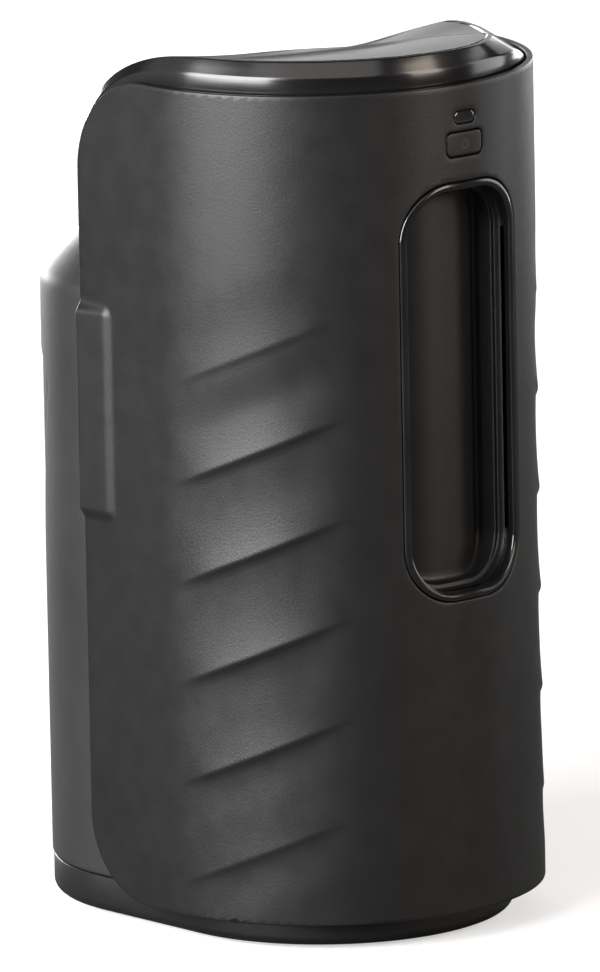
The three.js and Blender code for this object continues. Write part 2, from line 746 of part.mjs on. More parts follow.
function motorStack() {
  const motor = new THREE.Group();
  motor.position.set(0, motorY, motorZ);
  blower.add(motor);
  rotor(motor);
  add("intake_filter", ring(49, 62, -81.5, -6), foam, motor);
  add("filter_cage", filterCage(), mattBlack, motor);
  add("inlet_gasket", ring(36, 58, gap, 3.3), rubber, motor);
  add("fan_cover", lathe([[23, 3.6], [65, 3.6], [65, 34], [63.8, 34], [63.8, 4.8], [23, 4.8], [23, 3.6]]),
    zinc, motor);
  add("diffuser", cut(disc(62, 28, 30), disc(12, 0, 40, 24)), castMetal, motor);
  add("lower_bracket", lowerBracket(), castMetal, motor);
  add("upper_bracket", upperBracket(), castMetal, motor);
  add("lower_bearing", ring(shaftRadius + gap, bearingRadius, 38.5, 45.5, 24), steel, motor);
  add("upper_bearing", ring(shaftRadius + gap, bearingRadius, 104, 111, 24), steel, motor);
  add("stator", stator(), steel, motor);
  for (const [name, side] of [["front", -1], ["rear", 1]]) {
    add(`field_coil_${name}`, fieldCoil(side), copper, motor);
    add(`brush_holder_${name}`, brushHolder(side), natural, motor);
    add(`carbon_brush_${name}`, carbonBrush(side), carbon, motor);
  }
  add("motor_bucket", ring(bucketRadius - 2, bucketRadius, gap, bucketTop), mattBlack, motor);
  const capHole = onDeck(disc(boreRadius, -100, 0)).translate([0, -motorY, -motorZ]);
  const capTop = bucketTop + gap + bucketCapThickness;
  add("bucket_cap", cut(disc(bucketRadius, bucketTop + gap, capTop), capHole), mattBlack, motor);
}

function motorPlate() {
  const plate = oval(slab(coreInner - 1.5, motorPlateZ, motorZ), frontY, rearY);
  return cut(plate, disc(34, 90, 110).translate([0, motorY, 0]));
}

// ---------------------------------------------------------------- everything

add("front_cover", frontCover(), charcoal);
for (const [side, sign] of [["left", -1], ["right", 1]]) {
  spacerZ.forEach((z, n) => add(`cover_spacer_${side}_${["low", "high"][n]}`, coverSpacer(sign, z), mattBlack));
}
add("front_chassis", frontChassis(), graphite);
add("rear_shell", rearShell(), graphite);
add("rear_panel", rearPanel(), mattBlack);
add("base_tray", baseTray(), mattBlack);
add("top_lid", topLid(), glossBlack);
add("grip_trim_ring", gripTrimRing(), glossBlack);
add("grip_pocket", gripPocket(), mattBlack);
frontElectronics();
hoseOutlet();
add("outlet_duct", outletDuct(), mattBlack);
add("power_inlet", powerInlet(), mattBlack);
add("noise_filter", block(-24, 24, -88, -62, 22, 42), natural);
add("run_capacitor", disc(12, 0, 40, 24).rotate([0, 90, 0]).translate([-20, -76, 60]), natural);
add("motor_plate", motorPlate(), mattBlack);
motorStack();
for (const [place, [x, y]] of Object.entries(footSpots)) {
  add(`foot_${place}`, disc(footRadius, 0, footHeight, 24), rubber).position.set(x, y, 0);
}
for (const [place, [x, y]] of Object.entries(screwSpots)) {
  add(`base_screw_${place}`, screw(9, 4, 2.2, 1.9), steel).position.set(x, y, trayFloor - 2.2 - gap);
}

export default blower;
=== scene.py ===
"""Car dryer blower: the finished surfaces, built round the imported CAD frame."""
import json
import math

import bpy
import numpy as np
from mathutils import Matrix, Quaternion, Vector, kdtree
from mathutils.geometry import delaunay_2d_cdt


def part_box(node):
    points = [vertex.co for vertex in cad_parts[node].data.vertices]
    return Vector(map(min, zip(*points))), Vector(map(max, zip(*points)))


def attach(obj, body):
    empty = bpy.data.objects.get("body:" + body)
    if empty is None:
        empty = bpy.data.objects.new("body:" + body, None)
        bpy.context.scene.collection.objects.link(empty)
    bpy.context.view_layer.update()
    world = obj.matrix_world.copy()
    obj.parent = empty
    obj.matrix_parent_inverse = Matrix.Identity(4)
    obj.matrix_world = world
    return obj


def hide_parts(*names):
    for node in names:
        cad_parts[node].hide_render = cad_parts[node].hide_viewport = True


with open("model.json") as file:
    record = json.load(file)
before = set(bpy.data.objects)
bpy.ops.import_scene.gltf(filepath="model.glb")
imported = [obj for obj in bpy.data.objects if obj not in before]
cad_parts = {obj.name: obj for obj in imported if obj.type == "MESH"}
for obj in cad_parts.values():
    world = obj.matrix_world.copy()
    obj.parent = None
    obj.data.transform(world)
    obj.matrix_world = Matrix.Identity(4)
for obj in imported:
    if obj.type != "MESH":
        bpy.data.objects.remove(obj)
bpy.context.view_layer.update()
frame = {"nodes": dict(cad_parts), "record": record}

MM = 0.001

# ------------------------------------------------------------------ dimensions (millimetres)


def cad_box(node):
    """Lowest and highest corner of a CAD node in millimetres."""
    low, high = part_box(node)
    return Vector(low) / MM, Vector(high) / MM


COVER_LOW, COVER_HIGH = cad_box("front_cover")
COVER_RADIUS = 90.0
COVER_WALL = 2.7
COVER_CORNER_LOW, COVER_CORNER_HIGH = 36.0, 40.0
FRONT_Y = COVER_LOW.y + COVER_RADIUS  # centre of the front arc
COVER_REAR_Y = COVER_HIGH.y
COVER_BOTTOM, COVER_TOP = COVER_LOW.z, COVER_HIGH.z
QUARTER = COVER_RADIUS * math.pi / 2  # arc length from the front line to the straight side
COVER_HALF = QUARTER + COVER_REAR_Y - FRONT_Y

PAD_LENGTH = 20.0
PAD_RISE = 2.7
PAD_BEVEL = 4.6
PAD_BOTTOM, PAD_TOP = 174.0, 266.0

CORE_LOW, CORE_HIGH = cad_box("rear_shell")
CORE_RADIUS = CORE_HIGH.x
REAR_Y = CORE_HIGH.y - CORE_RADIUS  # centre of the rear arc
CORE_BOTTOM, CORE_TOP = CORE_LOW.z, CORE_HIGH.z
DECK_FRONT_Y = COVER_REAR_Y + 5.0
DECK_FRONT_Z = 322.0
SHOULDER_Z = 267.0
SHOULDER_INSET = 18.0
DECK_BACK_Y = REAR_Y + CORE_RADIUS - SHOULDER_INSET
DECK_BACK_Z = SHOULDER_Z + SHOULDER_INSET
DECK_SLOPE = (DECK_FRONT_Z - DECK_BACK_Z) / (DECK_BACK_Y - DECK_FRONT_Y)
DECK_TILT = math.atan(DECK_SLOPE)
DECK_CENTRE = Vector((0, (DECK_FRONT_Y + DECK_BACK_Y) / 2, (DECK_FRONT_Z + DECK_BACK_Z) / 2))

RECESS_Z = 233.25
RECESS_WIDTH, RECESS_HEIGHT, RECESS_CORNER = 64.6, 175.5, 24.0
TRIM_WIDTH = 3.6
GRIP_FLOOR_RADIUS = 34.0
GRIP_FLOOR_Y = FRONT_Y - 76.0
BUTTON_Z, BUTTON_WIDTH, BUTTON_HEIGHT, BUTTON_CORNER = 336.4, 19.4, 9.8, 2.5
LENS_Z, LENS_WIDTH, LENS_HEIGHT = 347.4, 11.6, 4.9

LID_RADIUS = 86.3
LID_TOP = 374.4


def smooth(x):
    """Rises from 0 to 1 with level ends."""
    x = np.clip(x, 0.0, 1.0)
    return x * x * (3 - 2 * x)


# ------------------------------------------------------------------ camera

CAMERA_AZIMUTH = -42.301
CAMERA_ELEVATION = 11.863
CAMERA_ROLL = -1.072
CAMERA_DISTANCE = 5.48235
CAMERA_TARGET = Vector((0, FRONT_Y, 170.0)) * MM


def direction(azimuth, elevation):
    """Unit vector from the object towards a viewpoint."""
    a, e = math.radians(azimuth), math.radians(elevation)
    return Vector((math.sin(a) * math.cos(e), -math.cos(a) * math.cos(e), math.sin(e)))


def make_camera():
    data = bpy.data.cameras.new("camera")
    data.lens = 486.9
    data.sensor_width = 36.0
    data.shift_x, data.shift_y = -0.0249, 0.0250
    data.clip_start, data.clip_end = 0.1, 60.0
    camera = bpy.data.objects.new("camera", data)
    bpy.context.scene.collection.objects.link(camera)
    back = direction(CAMERA_AZIMUTH, CAMERA_ELEVATION)
    camera.location = CAMERA_TARGET + back * CAMERA_DISTANCE
    camera.rotation_mode = "QUATERNION"
    level = (-back).to_track_quat("-Z", "Y")
    camera.rotation_quaternion = level @ Quaternion((0, 0, 1), math.radians(CAMERA_ROLL))
    bpy.context.scene.camera = camera


make_camera()

# ------------------------------------------------------------------ materials


class Nodes:
    """A short way to build a procedural material."""

    def __init__(self, name):
        self.material = bpy.data.materials.new(name)
        self.material.use_nodes = True
        self.tree = self.material.node_tree
        self.shader = self.tree.nodes["Principled BSDF"]
        self.where = self.add("ShaderNodeTexCoord").outputs["Object"]

    def add(self, kind, **values):
        node = self.tree.nodes.new(kind)
        for key, value in values.items():
            node.inputs[key.replace("_", " ")].default_value = value
        return node

    def link(self, out, into):
        self.tree.links.new(out, into)

    def noise(self, scale, detail=3.0, stretch=(1, 1, 1)):
        mapping = self.add("ShaderNodeMapping", Scale=stretch)
        self.link(self.where, mapping.inputs["Vector"])
        node = self.add("ShaderNodeTexNoise", Scale=scale, Detail=detail)
        self.link(mapping.outputs["Vector"], node.inputs["Vector"])
        return node.outputs["Fac"]

    def cells(self, scale):
        node = self.add("ShaderNodeTexVoronoi", Scale=scale)
        self.link(self.where, node.inputs["Vector"])
        return node.outputs["Distance"]

    def spread(self, value, low, high):
        """The middle of a noise's range, mapped to low to high."""
        node = self.add("ShaderNodeMapRange", From_Min=0.3, From_Max=0.7, To_Min=low, To_Max=high)
        self.link(value, node.inputs["Value"])
        return node.outputs["Result"]

    def ramp(self, value, first, last):
        node = self.add("ShaderNodeValToRGB")
        for stop, colour, position in zip(node.color_ramp.elements, (first, last), (0.3, 0.7)):
            stop.color = (*colour, 1)
            stop.position = position
        self.link(value, node.inputs["Fac"])
        return node.outputs["Color"]

    def bump(self, height, strength, distance, below=None):
        node = self.add("ShaderNodeBump", Strength=strength, Distance=distance)
        self.link(height, node.inputs["Height"])
        if below is not None:
            self.link(below, node.inputs["Normal"])
        return node.outputs["Normal"]

    def set(self, **values):
        for key, value in values.items():
            socket = self.shader.inputs[key.replace("_", " ")]
            if isinstance(value, bpy.types.NodeSocket):
                self.link(value, socket)
            else:
                socket.default_value = value


def moulded(name, dark, light, roughness, grain, grain_depth, specular):
    """Moulded plastic: cloudy colour, uneven gloss and a fine spark-eroded grain."""
    m = Nodes(name)
    cloud = m.noise(18.0, 4.0)
    patches = m.noise(90.0, 3.0)
    fine = m.noise(grain, 2.0)
    pits = m.cells(grain * 0.6)
    first = m.bump(pits, 0.35, grain_depth)
    m.set(
        Base_Color=m.ramp(cloud, dark, light),
        Roughness=m.spread(patches, roughness - 0.03, roughness + 0.04),
        Normal=m.bump(fine, 0.5, grain_depth, first),
        Specular_IOR_Level=specular,
    )
    return m.material


def polished(name, colour, roughness):
    """Polished plastic with faint haze and hairline wear."""
    m = Nodes(name)
    haze = m.noise(35.0, 4.0)
    hairline = m.noise(500.0, 2.0, stretch=(1, 0.12, 0.12))
    lighter = tuple(c * 1.35 for c in colour)
    m.set(
        Base_Color=m.ramp(haze, colour, lighter),
        Roughness=m.spread(haze, roughness * 0.8, roughness * 1.35),
        Normal=m.bump(hairline, 0.04, 0.00004),
        Coat_Weight=0.12,
        Coat_Roughness=0.12,
    )
    return m.material


def soft_rubber(name):
    """Dull rubber with a fine bloom."""
    m = Nodes(name)
    m.set(
        Base_Color=m.ramp(m.noise(60.0, 4.0), (0.012, 0.012, 0.012), (0.024, 0.023, 0.022)),
        Roughness=m.spread(m.noise(200.0, 3.0), 0.72, 0.9),
        Normal=m.bump(m.noise(2500.0, 2.0), 0.5, 0.00008),
    )
    return m.material


def worked_metal(name, colour, roughness, stretch, scale):
    """Bare metal with tool marks drawn out along one axis."""
    m = Nodes(name)
    marks = m.noise(scale, 3.0, stretch=stretch)
    darker = tuple(c * 0.8 for c in colour)
    m.set(
        Base_Color=m.ramp(m.noise(40.0, 3.0), darker, colour),
        Metallic=1.0,
        Roughness=m.spread(marks, roughness - 0.08, roughness + 0.1),
        Normal=m.bump(marks, 0.15, 0.00005),
    )
    return m.material


def open_foam(name):
    """Open-celled filter foam."""
    m = Nodes(name)
    cells = m.cells(700.0)
    m.set(
        Base_Color=m.ramp(cells, (0.012, 0.012, 0.013), (0.07, 0.072, 0.078)),
        Roughness=1.0,
        Normal=m.bump(cells, 1.0, 0.0006),
    )
    return m.material


def glowless_lens(name):
    """Smoked lens without a light behind it."""
    m = Nodes(name)
    m.set(
        Base_Color=m.ramp(m.noise(80.0, 2.0), (0.012, 0.012, 0.014), (0.02, 0.021, 0.024)),
        Roughness=m.spread(m.noise(60.0, 2.0), 0.08, 0.14),
        Coat_Weight=0.8,
        Coat_Roughness=0.02,
    )
    return m.material


# moulded plastics: darkest and lightest colour, roughness, grain scale and depth, specular level
MOULDED = {
    "cover_charcoal": ((0.0070, 0.0069, 0.0071), (0.0095, 0.0093, 0.0096), 0.38, 1500.0, 0.00006, 0.38),
    "core_graphite": ((0.018, 0.018, 0.0185), (0.024, 0.024, 0.0246), 0.46, 1900.0, 0.00005, 0.45),
    "matt_black": ((0.0050, 0.0050, 0.0052), (0.0075, 0.0075, 0.0078), 0.46, 1600.0, 0.00007, 0.4),
    "button_black": ((0.0055, 0.0055, 0.0058), (0.0080, 0.0080, 0.0083), 0.36, 2400.0, 0.00004, 0.4),
    "natural_plastic": ((0.27, 0.275, 0.28), (0.33, 0.335, 0.34), 0.5, 1200.0, 0.00005, 0.5),
    "circuit_board": ((0.012, 0.09, 0.03), (0.02, 0.13, 0.045), 0.4, 900.0, 0.00003, 0.5),
    "carbon": ((0.02, 0.02, 0.02), (0.035, 0.035, 0.035), 0.6, 1500.0, 0.00005, 0.5),
}

# metals: colour, roughness, stretch and scale of the tool marks
METALS = {
    "bright_steel": ((0.5, 0.51, 0.52), 0.3, (1, 1, 6), 300.0),
    "zinc_plate": ((0.55, 0.56, 0.58), 0.4, (1, 1, 1), 120.0),
    "cast_aluminium": ((0.55, 0.55, 0.56), 0.5, (1, 1, 1), 700.0),
    "copper": ((0.62, 0.25, 0.11), 0.35, (1, 1, 14), 260.0),
}

FINISH = {
    **{name: moulded(name, *values) for name, values in MOULDED.items()},
    **{name: worked_metal(name, *values) for name, values in METALS.items()},
    "gloss_black": polished("gloss_black", (0.0045, 0.0045, 0.005), 0.17),
    "smoked_lens": glowless_lens("smoked_lens"),
    "rubber": soft_rubber("rubber"),
    "filter_foam": open_foam("filter_foam"),
}


def finish_cad_nodes():
    """Every CAD node gets its slot's finish."""
    for row in frame["record"]["subparts"]:
        for place in frame["nodes"][row["node"]].material_slots:
            place.material = FINISH[row["material_slot"]]


finish_cad_nodes()

# ------------------------------------------------------------------ mesh building


def face_outwards(vertices, faces):
    """The same faces, turned so that the closed surface's volume is positive."""
    p = np.array([tuple(v) for v in vertices])
    volume = 0.0
    for face in faces:
        a = p[face[0]]
        for k in range(1, len(face) - 1):
            volume += np.dot(a, np.cross(p[face[k]], p[face[k + 1]]))
    return faces if volume > 0 else [tuple(reversed(f)) for f in faces]


def new_piece(name, vertices, faces, slot, body, replaced=(), flat=False):
    """A closed mesh in millimetres becomes a piece in metres that rides on its body."""
    faces = face_outwards(vertices, faces)
    mesh = bpy.data.meshes.new(name)
    mesh.from_pydata([tuple(c * MM for c in v) for v in vertices], [], faces)
    mesh.validate()
    mesh.polygons.foreach_set("use_smooth", [not flat] * len(mesh.polygons))
    piece = bpy.data.objects.new(name, mesh)
    bpy.context.scene.collection.objects.link(piece)
    mesh.materials.append(FINISH[slot])
    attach(piece, body)
    if replaced:
        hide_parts(*replaced)


def arc(cx, cy, radius, start, end, count):
    """Points on an arc, degrees, both ends included."""
    angles = np.radians(np.linspace(start, end, count))
    return [(cx + radius * math.cos(a), cy + radius * math.sin(a)) for a in angles]


def between(first, last, count):
    """Points strictly between two points."""
    parts = np.arange(1, count + 1) / (count + 1)
    return [tuple(np.array(first) + (np.array(last) - np.array(first)) * t) for t in parts]


def even_steps(first, last, spacing):
    """Points between two points, at about one spacing."""
    return between(first, last, max(1, round(math.dist(first, last) / spacing)))


def rounded_rect(cx, cy, width, height, radius, spacing=2.0, arc_points=13):
    """Loop function: the rounded rectangle, moved inwards by an inset."""
    w, h = width / 2 - radius, height / 2 - radius
    across, up = max(1, round(2 * w / spacing)), max(1, round(2 * h / spacing))

    def loop(inset):
        r = max(radius - inset, 0.05)
        corners = [(w, h, 0), (-w, h, 90), (-w, -h, 180), (w, -h, 270)]
        points = []
        for k, (x, y, start) in enumerate(corners):
            points += arc(cx + x, cy + y, r, start, start + 90, arc_points)
            nx, ny, following = corners[(k + 1) % 4]
            a = math.radians(start + 90)
            first = (cx + x + r * math.cos(a), cy + y + r * math.sin(a))
            last = (cx + nx + r * math.cos(a), cy + ny + r * math.sin(a))
            points += between(first, last, (across if k % 2 == 0 else up) - 1)
        return points

    return loop


def rounded_polygon(corners, spacing=2.0, steps=10):
    """Loop function for a closed polygon of (x, y, radius) corners, turned anticlockwise."""
    points = []
    n = len(corners)
    for k in range(n):
        x0, y0, _ = corners[k - 1]
        x1, y1, radius = corners[k]
        x2, y2, _ = corners[(k + 1) % n]
        before, corner, after = Vector((x0, y0)), Vector((x1, y1)), Vector((x2, y2))
        one, two = (before - corner).normalized(), (after - corner).normalized()
        reach = radius / math.tan(one.angle(two) / 2)
        start, end = corner + one * reach, corner + two * reach
        if points:
            points += even_steps(points[-1], tuple(start), spacing)
        centre = corner + (one + two).normalized() * math.hypot(reach, radius)
        a0 = math.atan2(start.y - centre.y, start.x - centre.x)
        a1 = math.atan2(end.y - centre.y, end.x - centre.x)
        turn = (a1 - a0) % (2 * math.pi)
        for t in range(steps + 1):
            a = a0 + turn * t / steps
            points.append((centre.x + radius * math.cos(a), centre.y + radius * math.sin(a)))
    points += even_steps(points[-1], points[0], spacing)

    def loop(inset):
        p = np.array(points)
        along = np.roll(p, -1, axis=0) - np.roll(p, 1, axis=0)
        along /= np.linalg.norm(along, axis=1)[:, None]
        inward = np.column_stack([-along[:, 1], along[:, 0]])
        return [tuple(q) for q in p + inward * inset]

    return loop


def inside(points, loop):
    """Even-odd test of many points against one loop."""
    result = np.zeros(len(points), bool)
    x, y = points[:, 0], points[:, 1]
    for (x0, y0), (x1, y1) in zip(loop, loop[1:] + loop[:1]):
        if y0 == y1:
            continue
        crosses = (y0 > y) != (y1 > y)
        result ^= crosses & (x < (x1 - x0) * (y - y0) / (y1 - y0) + x0)
    return result


def within(points, loops):
    """Which points lie inside the first loop and outside the others."""
    result = inside(points, loops[0])
    for hole in loops[1:]:
        result &= ~inside(points, hole)
    return result


def triangulate(loops, grid, margin):
    """Constrained triangles inside the first loop and outside the others.

    Returns the grid points used, which keep a margin from the loops, and the triangles' numbers
    in the loops' points followed by the grid points.
    """
    edge_points = [p for loop in loops for p in loop]
    tree = kdtree.KDTree(len(edge_points))
    for k, (x, y) in enumerate(edge_points):
        tree.insert((x, y, 0), k)
    tree.balance()
    interior = [tuple(p) for p in grid[within(grid, loops)] if tree.find((p[0], p[1], 0))[2] > margin]
    edges, start = [], 0
    for loop in loops:
        n = len(loop)
        edges += [(start + k, start + (k + 1) % n) for k in range(n)]
        start += n
    points = [Vector(p) for p in edge_points + interior]
    merge_distance = 1e-6
    _, _, found, origins, *_ = delaunay_2d_cdt(points, edges, [], 0, merge_distance, True)
    triangles = [tuple(origins[v][0] for v in face) for face in found]
    flat = np.array([tuple(p) for p in points])
    middle = flat[np.array(triangles)].mean(axis=1)
    return interior, [face for face, keep in zip(triangles, within(middle, loops)) if keep]


def even_grid(low, high, step):
    """Points of a square grid between two corners."""
    xs = np.arange(low[0] + step / 2, high[0], step)
    ys = np.arange(low[1] + step / 2, high[1], step)
    gx, gy = np.meshgrid(xs, ys)
    return np.column_stack([gx.ravel(), gy.ravel()])


def panel(name, outline, holes, profile, place, grid, margin, slot, body, replaced=()):
    """A wrapped panel with rounded edges.

    outline and holes are loop functions of an inset; profile lists (inset, level) from the front
    sheet round the edge to the back sheet; place(u, v, level) puts a point in space.
    """
    vertices, faces = [], []
    rims = []
    for k, loop in enumerate([outline, *holes]):
        sign = 1 if k == 0 else -1
        rows = []
        for inset, level in profile:
            points = loop(sign * inset)
            rows.append((len(vertices), points))
            vertices += [place(u, v, level) for u, v in points]
        for (a, points), (b, _) in zip(rows, rows[1:]):
            for i in range(len(points)):
                j = (i + 1) % len(points)
                quad = (a + i, b + i, b + j, a + j)
                faces.append(quad if k == 0 else tuple(reversed(quad)))
        rims.append(rows)
    for which in (0, -1):
        level = profile[which][1]
        interior, triangles = triangulate([rows[which][1] for rows in rims], grid, margin)
        numbers = [rows[which][0] + i for rows in rims for i in range(len(rows[which][1]))]
        numbers += range(len(vertices), len(vertices) + len(interior))
        vertices += [place(u, v, level) for u, v in interior]
        for a, b, c in triangles:
            tri = (numbers[a], numbers[b], numbers[c])
            faces.append(tri if which == 0 else tri[::-1])
    new_piece(name, vertices, faces, slot, body, replaced)


def skin(rows, ring=False):
    """Closed surface through closed rows of equal length: capped at both ends, or a ring."""
    n, count = len(rows[0]), len(rows)
    vertices = [v for row in rows for v in row]
    faces = []
    for r in range(count if ring else count - 1):
        following = (r + 1) % count
        for i in range(n):
            j = (i + 1) % n
            faces.append((r * n + i, r * n + j, following * n + j, following * n + i))
    if not ring:
        faces.append(tuple(reversed(range(n))))
        faces.append(tuple((count - 1) * n + i for i in range(n)))
    return vertices, faces


def turned(name, profile, matrix, slot, body, replaced, segments, ring=False):
    """A solid of revolution about Z. profile is [(radius, z)]; a ring's profile closes on itself."""
    on_axis = 0.02  # a radius that keeps the end caps' points apart
    angles = np.linspace(0, 2 * math.pi, segments, endpoint=False)
    rows = []
    for radius, z in profile:
        r = max(radius, on_axis)
        rows.append([matrix @ Vector((r * math.cos(a), r * math.sin(a), z)) for a in angles])
    new_piece(name, *skin(rows, ring), slot, body, replaced)


def fillet(points, radius, steps=4):
    """An open polyline with its inner corners rounded."""
    rounded = [points[0]]
    for before, corner, after in zip(points, points[1:], points[2:]):
        b, c, a = (Vector(p) for p in (before, corner, after))
        reach = min(radius, (b - c).length / 2, (a - c).length / 2)
        start, end = c + (b - c).normalized() * reach, c + (a - c).normalized() * reach
        for k in range(steps + 1):
            t = k / steps
            p = start * (1 - t) ** 2 + c * 2 * t * (1 - t) + end * t ** 2
            rounded.append(tuple(p))
    rounded.append(points[-1])
    return rounded


# ------------------------------------------------------------------ front cover


def along_cover(u):
    """Point and outward normal of the cover's plan at signed arc length u from the front line."""
    side = -1.0 if u < 0 else 1.0
    length = abs(u)
    if length <= QUARTER:
        a = length / COVER_RADIUS
        normal = (side * math.sin(a), -math.cos(a))
        return (COVER_RADIUS * normal[0], FRONT_Y + COVER_RADIUS * normal[1]), normal
    return (side * COVER_RADIUS, FRONT_Y + length - QUARTER), (side, 0.0)


RIDGE_PITCH = 42.2
RIDGE_FIRST = 44.0  # height of the lowest ridge at the reference line
RIDGE_COUNT = 6
RIDGE_SLOPE = 0.41
RIDGE_LINE = math.radians(60) * COVER_RADIUS  # reference line, arc length from the front
FLANK = (math.radians(30) * COVER_RADIUS, math.radians(92) * COVER_RADIUS)
FADE_FRONT, FADE_REAR, FADE_SPAN = 33.0, 71.0, 17.0  # degrees round the front arc
SCALLOP_DEPTH = 1.7
RIDGE_STRENGTH = (0.5, 0.85, 1.0, 1.0, 0.9, 0.3)


def ridge_shift(u):
    """How much higher a ridge lies at arc length u than at the reference line."""
    return RIDGE_SLOPE * (RIDGE_LINE - np.clip(np.abs(u), *FLANK))


def scallop(p):
    """Depth across one scallop, from a ridge (p = 0) up to just below the next (p = 1)."""
    deepest, lip = 0.68, 0.91
    roof_rise = 0.22  # share of the depth that the roof loses up to the lip
    flare = 1 - (1 - np.clip(p / deepest, 0, 1)) ** 2
    roof = 1 - roof_rise * np.clip((p - deepest) / (lip - deepest), 0, 1) ** 2
    step = 1 - smooth((p - lip) / (1 - lip))
    return np.where(p < deepest, flare, roof) * step


def relief(u, v):
    """Depth of the flank scallops in millimetres."""
    t = (v - ridge_shift(u) - RIDGE_FIRST) / RIDGE_PITCH
    cell = math.floor(t)
    if cell < -1 or cell >= RIDGE_COUNT:
        return 0.0
    p = t - cell
    below = RIDGE_STRENGTH[max(cell, 0)]
    above = RIDGE_STRENGTH[min(cell + 1, RIDGE_COUNT - 1)]
    strength = below + (above - below) * smooth((p - 0.4) / 0.5)
    if cell == -1:
        strength *= smooth((p - 0.3) / 0.6)
    if cell == RIDGE_COUNT - 1:
        strength *= 1 - smooth((p - 0.1) / 0.7)
    a = math.degrees(abs(u) / COVER_RADIUS)
    fade = smooth((a - FADE_FRONT) / FADE_SPAN) * (1 - smooth((a - FADE_REAR) / FADE_SPAN))
    return float(SCALLOP_DEPTH * strength * fade * scallop(p))


def pad(u, v):
    """Rise of the pads at the cover's rear edges, higher towards the rear."""
    corner = 5.0
    lowest = 0.4  # share of the rise at the pad's front edge
    dx, dy = abs(u) - (COVER_HALF - PAD_LENGTH), min(v - PAD_BOTTOM, PAD_TOP - v)
    if dx <= 0 or dy <= 0:
        return 0.0
    if dx < corner and dy < corner:
        reach = corner - math.hypot(corner - dx, corner - dy)
    else:
        reach = min(dx, dy)
    slope = lowest + (1 - lowest) * min(dx / PAD_LENGTH, 1.0)
    return PAD_RISE * slope * float(smooth(reach / PAD_BEVEL))


def place_on_cover(u, v, level):
    """level 0 is the outer face and 1 the inner one, which follows the scallops but not the pads."""
    inner_share = 0.9  # how much of a scallop's depth shows inside
    (x, y), (nx, ny) = along_cover(u)
    dip = relief(u, v) * (1 - (1 - inner_share) * level)
    off = pad(u, v) * (1 - level) - dip - level * COVER_WALL
    return Vector((x + nx * off, y + ny * off, v))


# the unrolled cover in (arc length, height): a rectangle whose corners are round
cover_outline = rounded_polygon([
    (-COVER_HALF, COVER_BOTTOM, COVER_CORNER_LOW), (COVER_HALF, COVER_BOTTOM, COVER_CORNER_LOW),
    (COVER_HALF, COVER_TOP, COVER_CORNER_HIGH), (-COVER_HALF, COVER_TOP, COVER_CORNER_HIGH),
], 2.0, 36)


def cover_grid():
    """Grid points that follow the ridges, closer together where the surface turns sharply."""
    near_ridge = [-0.5, -1.0, -1.6, -2.3, -3.4, 0.0, 0.6, 1.5, 2.8]
    row_step, column_step, pad_step = 2.4, 2.0, 1.0
    lines = []
    for k in range(-4, RIDGE_COUNT + 5):
        ridge = RIDGE_FIRST + k * RIDGE_PITCH
        if -1 <= k <= RIDGE_COUNT:
            lines += [ridge + offset for offset in near_ridge]
            lines += list(np.arange(ridge + 5.0, ridge + RIDGE_PITCH - 4.5, row_step))
        else:
            lines += list(np.arange(ridge, ridge + RIDGE_PITCH, row_step))
    pad_edge = COVER_HALF - PAD_LENGTH
    points = []
    for u in np.arange(-COVER_HALF + 1, COVER_HALF, column_step):
        shift = float(ridge_shift(u))
        for t in lines:
            v = t + shift
            if abs(u) > pad_edge - 2 and PAD_BOTTOM - 2 < v < PAD_TOP + 2:
                continue
            points.append((u, v))
    for side in (-1, 1):
        for x in np.arange(pad_edge - 1, COVER_HALF, pad_step):
            points += [(side * x, v) for v in np.arange(PAD_BOTTOM - 1, PAD_TOP + 1, pad_step)]
    return np.array(points)


def arc_x(width_chord):
    """Arc length on the cover that spans a chord of this width."""
    return 2 * COVER_RADIUS * math.asin(width_chord / 2 / COVER_RADIUS)


def make_cover():
    """The cover with its openings for the recess, the button and the indicator."""
    window = rounded_rect(0, RECESS_Z, arc_x(RECESS_WIDTH), RECESS_HEIGHT, RECESS_CORNER, 2.0, 25)
    button = rounded_rect(
        0, BUTTON_Z, BUTTON_WIDTH + 1.0, BUTTON_HEIGHT + 1.0, BUTTON_CORNER + 0.4, 1.2, 9,
    )
    lens = rounded_rect(
        0, LENS_Z, LENS_WIDTH + 0.6, LENS_HEIGHT + 0.6, LENS_HEIGHT / 2 + 0.2, 1.2, 11,
    )
    rim = 0.55
    profile = [
        (rim, 0.0), (rim * 0.35, 0.035), (0.05, 0.14), (0.0, 0.35), (0.0, 0.75), (0.1, 0.92), (rim, 1.0),
    ]
    panel(
        "cover_skin", cover_outline, [window, button, lens], profile, place_on_cover,
        cover_grid(), 0.5, "cover_charcoal", "housing", ["front_cover"],
    )


make_cover()

# ------------------------------------------------------------------ lid

LID_ARC_Y = FRONT_Y - 17.0  # where the lid starts to roll down over the rear corner
LID_ARC_Z = 332.5
LID_ARC_DEPTH = 69.0
LID_ARC_RISE = LID_TOP - LID_ARC_Z
LID_REAR_Z = 325.4
LID_STEPS = 400
BEYOND_STEP = 10.0  # millimetres that one level or share beyond the bevel stands for


def lid_curve():
    """Side profile of the lid as a table of (length, y, z) from the start of the roll."""
    angles = np.linspace(math.pi / 2, 0.0, LID_STEPS)
    y = LID_ARC_Y + LID_ARC_DEPTH * np.cos(angles)
    z = LID_ARC_Z + LID_ARC_RISE * np.sin(angles)
    steps = np.hypot(np.diff(y), np.diff(z))
    return np.concatenate([[0.0], np.cumsum(steps)]), y, z


LID_LENGTHS, LID_YS, LID_ZS = lid_curve()
LID_ROLL = float(LID_LENGTHS[-1])
LID_END = LID_ROLL + LID_ARC_Z - LID_REAR_Z


